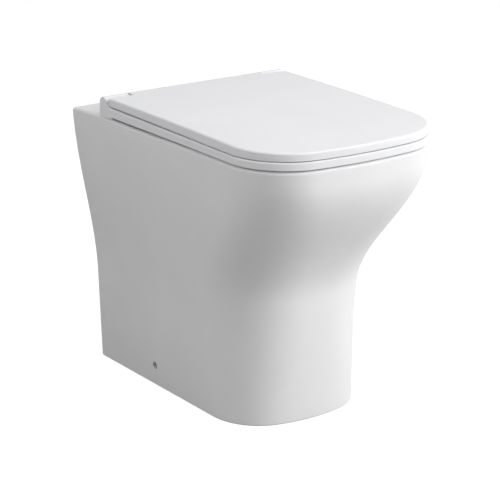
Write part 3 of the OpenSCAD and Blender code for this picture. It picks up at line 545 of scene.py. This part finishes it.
def lug_outline(inset):
    """Barrel, cove under the lid's heel, toe and rounded foot, drawn in by an amount."""
    r, cove = BARREL - inset, LID_HEEL + LID_GAP + inset
    u, v = -LID_BACK - LID_HEEL - AXIS_Y, LID_Z + LID_HEEL - AXIS_Z
    away, turn = math.hypot(u, v), math.atan2(v, u)
    near = (away ** 2 + r ** 2 - cove ** 2) / (2 * away)
    meet = turn + math.acos(near / r)
    heel = math.atan2(r * math.sin(meet) - v, r * math.cos(meet) - u)
    base, front = LUG_R - inset, inset - TOE
    return (turn_points(0, 0, r, 0, meet, 60)
            + turn_points(u, v, cove, heel, -math.pi / 2, 14)[1:]
            + [(u - COVE_BACK, v - cove - COVE_DROP), (front, TOE_RISE - base)]
            + turn_points(front + TOE_R, TOE_R - base, TOE_R, math.pi, 1.5 * math.pi, 5)
            + turn_points(0, 0, base, 1.5 * math.pi, 1.5 * math.pi + math.asin(r / base), 12))


def eased_ends(a, b, edge, steps):
    """Places across between a and b, each with how far a rounded end draws the outline in."""
    ends = [(a + edge * (1 - math.sin(t)), edge * (1 - math.cos(t)))
            for t in np.linspace(0, math.pi / 2, steps)]
    return ends[::-1] + [(b - (x - a), q) for x, q in ends]


def lug_mesh(a, b):
    made = [np.array([(x, AXIS_Y + u, AXIS_Z + v) for u, v in lug_outline(q)])
            for x, q in eased_ends(a, b, LUG_EDGE, 6)]
    return ring_mesh("lug", made, material=seat_white)


for a, b in ((-LUG_OUT, -LUG_IN), (LUG_IN, LUG_OUT)):
    boolean(seat, lug_mesh(a, b), "UNION", "MANIFOLD")
for bore in (tube(-LUG_IN - SEAT_DAMPER_L, -LUG_IN + OVERCUT, DAMPER_BORE_R),
             tube(LUG_IN - OVERCUT, LUG_IN + SEAT_BUSH_L, BUSH_BORE_R)):
    boolean(seat, lathe("bore", bore, on_axis, seat_white), "DIFFERENCE", "MANIFOLD")
smooth(seat)
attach(seat, "seat")
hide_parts("seat_ring")


# ---- Lid ------------------------------------------------------------------------------------
def lid_outline(inset, back_inset):
    return plan(RIM_W / 2 - LID_INSET - inset, LID_BACK + back_inset, RIM_REACH - LID_INSET - inset,
                RIM_R - LID_INSET - inset, RIM_BOW, BACK_R)


rings = []
for a in quarter:
    out = lid_outline(0.5 * (1 - math.sin(a)), LID_HEEL * (1 - math.sin(a)))
    z = LID_Z + LID_HEEL * (1 - math.cos(a))
    rings.append(lift(out, [z - (SEAT_FALL + LID_CLOSE) * closed(y) for y in out[:, 1]]))
for a in quarter:
    out = lid_outline(LID_EDGE * (1 - math.cos(a)), LID_BACK_R * (1 - math.cos(a)))
    rings.append(lift(out, [lid_top(y) - LID_EDGE * (1 - math.sin(a)) for y in out[:, 1]]))
lid = ring_mesh("lid_duroplast", rings, ends="strips", material=seat_white)
web_y = -LID_BACK - LID_HEEL - OVERCUT


def knuckle(a, b, edge=0.6):
    """Barrel and web between two places across the lid, with eased ends."""
    made = []
    for x, q in eased_ends(a, b, edge, 5):
        r = BARREL - q
        pts = [(web_y, lid_top(web_y) - q), (web_y, LID_Z + q)]
        low = math.pi + math.asin(min((AXIS_Z - LID_Z - q) / r, 1))
        pts += [(AXIS_Y + r * math.cos(t), AXIS_Z + r * math.sin(t))
                for t in np.linspace(low, 2.5 * math.pi, 60)]
        made.append(np.array([(x, y, z) for y, z in pts]))
    return ring_mesh("knuckle", made, material=seat_white)


boolean(lid, knuckle(-KN_OUT, KN_OUT), "UNION")
recess = [lift(lid_outline(LID_WALL, LID_WALL + LID_HEEL), z)
          for z in (AXIS_Z - BARREL, LID_Z + LID_RECESS)]
boolean(lid, ring_mesh("recess", recess, ends="strips", material=seat_white), "DIFFERENCE")
for side in (-1, 1):
    a, b = sorted((side * KN_IN, side * END_KN))
    boolean(lid, lathe("pocket", tube(a, b, BARREL + POCKET_GAP), on_axis, seat_white), "DIFFERENCE")
    back, front = AXIS_Y + NOTCH_HALF, AXIS_Y - NOTCH_HALF
    corners = [np.array([(a, front, h), (b, front, h), (b, back, h), (a, back, h)])
               for h in (AXIS_Z, AXIS_Z + NOTCH_H)]
    boolean(lid, ring_mesh("notch", corners, material=seat_white), "DIFFERENCE")
    a, b = sorted((side * (END_KN - OVERCUT), side * (KN_OUT + OVERCUT)))
    boolean(lid, lathe("bore", tube(a, b, BUSH_BORE_R), on_axis, seat_white), "DIFFERENCE")
for bore in (tube(KN_IN - LID_DAMPER_L, KN_IN + OVERCUT, DAMPER_BORE_R),
             tube(-KN_IN - OVERCUT, -KN_IN + LID_BUSH_L, BUSH_BORE_R)):
    boolean(lid, lathe("bore", bore, on_axis, seat_white), "DIFFERENCE")
smooth(lid)
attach(lid, "lid")
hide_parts("lid")

# ---- Floor, light and camera ----------------------------------------------------------------
scene = bpy.context.scene
scene.view_settings.view_transform = "Standard"

floor = mesh_object("floor", [(-9000, -9000, 0), (9000, -9000, 0), (9000, 9000, 0), (-9000, 9000, 0)],
                    [[0, 1, 2, 3]])
FLOOR_GREY, FLOOR_GLOW, WORLD_GREY = 0.35, 0.93, 0.02


def seen_ray(tree):
    """1 for rays that show the background: from the camera, or by way of a reflection or glass."""
    path = tree.nodes.new("ShaderNodeLightPath")
    value = path.outputs["Is Camera Ray"]
    for kind in ("Is Glossy Ray", "Is Transmission Ray"):
        either = tree.nodes.new("ShaderNodeMath")
        either.operation = "MAXIMUM"
        tree.links.new(value, either.inputs[0])
        tree.links.new(path.outputs[kind], either.inputs[1])
        value = either.outputs[0]
    return value


fmat, ftree, fbsdf = new_material("floor_white")
fbsdf.inputs["Base Color"].default_value = (FLOOR_GREY, FLOOR_GREY, FLOOR_GREY, 1)
fbsdf.inputs["Roughness"].default_value = 0.9
fbsdf.inputs["Specular IOR Level"].default_value = 0.0
fbsdf.inputs["Emission Color"].default_value = (1, 1, 1, 1)
glow = ftree.nodes.new("ShaderNodeMath")
glow.operation = "MULTIPLY"
glow.inputs[1].default_value = FLOOR_GLOW
ftree.links.new(seen_ray(ftree), glow.inputs[0])
ftree.links.new(glow.outputs[0], fbsdf.inputs["Emission Strength"])
floor.data.materials.append(fmat)

world = bpy.data.worlds.new("studio")
scene.world = world
world.use_nodes = True
wt = world.node_tree
wt.nodes.clear()
wout = wt.nodes.new("ShaderNodeOutputWorld")
light_bg = wt.nodes.new("ShaderNodeBackground")
light_bg.inputs[0].default_value = (WORLD_GREY, WORLD_GREY, WORLD_GREY, 1)
white_bg = wt.nodes.new("ShaderNodeBackground")
white_bg.inputs[0].default_value = (1, 1, 1, 1)
wmix = wt.nodes.new("ShaderNodeMixShader")
wt.links.new(seen_ray(wt), wmix.inputs[0])
wt.links.new(light_bg.outputs[0], wmix.inputs[1])
wt.links.new(white_bg.outputs[0], wmix.inputs[2])
wt.links.new(wmix.outputs[0], wout.inputs[0])


MIDDLE = Vector((0, -0.28, 0.25))
# Each lamp: degrees round from the front towards the right, degrees up, distance, size, watts
LAMPS = {
    "key": (20, 40, 2.6, 1.6, 28.6), "key_side": (40, 40, 2.6, 1.6, 7),
    "low_front": (40, 6, 2.6, 1.2, 38.8), "back_left": (-110, 40, 2.6, 1.6, 14.8),
    "low_left": (-75, 6, 2.6, 1.2, 15.4), "right": (110, 40, 2.6, 1.6, 11),
    "top": (0, 88, 2.4, 2.0, 22.5)}
for name, (turn, rise, distance, size, watts) in LAMPS.items():
    turn, rise = math.radians(turn), math.radians(rise)
    toward = Vector((math.sin(turn) * math.cos(rise), -math.cos(turn) * math.cos(rise),
                     math.sin(rise)))
    data = bpy.data.lights.new(name, "AREA")
    data.size = size
    data.energy = watts
    lamp = bpy.data.objects.new(name, data)
    scene.collection.objects.link(lamp)
    lamp.location = MIDDLE + toward * distance
    lamp.rotation_euler = (-toward).to_track_quat("-Z", "Y").to_euler()

CAMERA_AT = (-1.7440, -2.7080, 1.1995)
FOCAL, FRAME, SENSOR = 2105.2, 500, 36  # pixels, pixels, millimetres
yaw, pitch, roll = math.radians(35.2604), math.radians(17.9843), math.radians(0.292)
look = Vector((math.sin(yaw) * math.cos(pitch), math.cos(yaw) * math.cos(pitch), -math.sin(pitch)))
across = Vector((math.cos(yaw), -math.sin(yaw), 0))
up = across.cross(look)
right = across * math.cos(roll) + up * math.sin(roll)
above = up * math.cos(roll) - across * math.sin(roll)
cam = bpy.data.cameras.new("camera")
cam.sensor_width = SENSOR
cam.lens = FOCAL * SENSOR / FRAME
cam.clip_start, cam.clip_end = 0.05, 60
cam_ob = bpy.data.objects.new("camera", cam)
scene.collection.objects.link(cam_ob)
cam_ob.matrix_world = Matrix((
    (right.x, above.x, -look.x, CAMERA_AT[0]),
    (right.y, above.y, -look.y, CAMERA_AT[1]),
    (right.z, above.z, -look.z, CAMERA_AT[2]),
    (0, 0, 0, 1)))
scene.camera = cam_ob
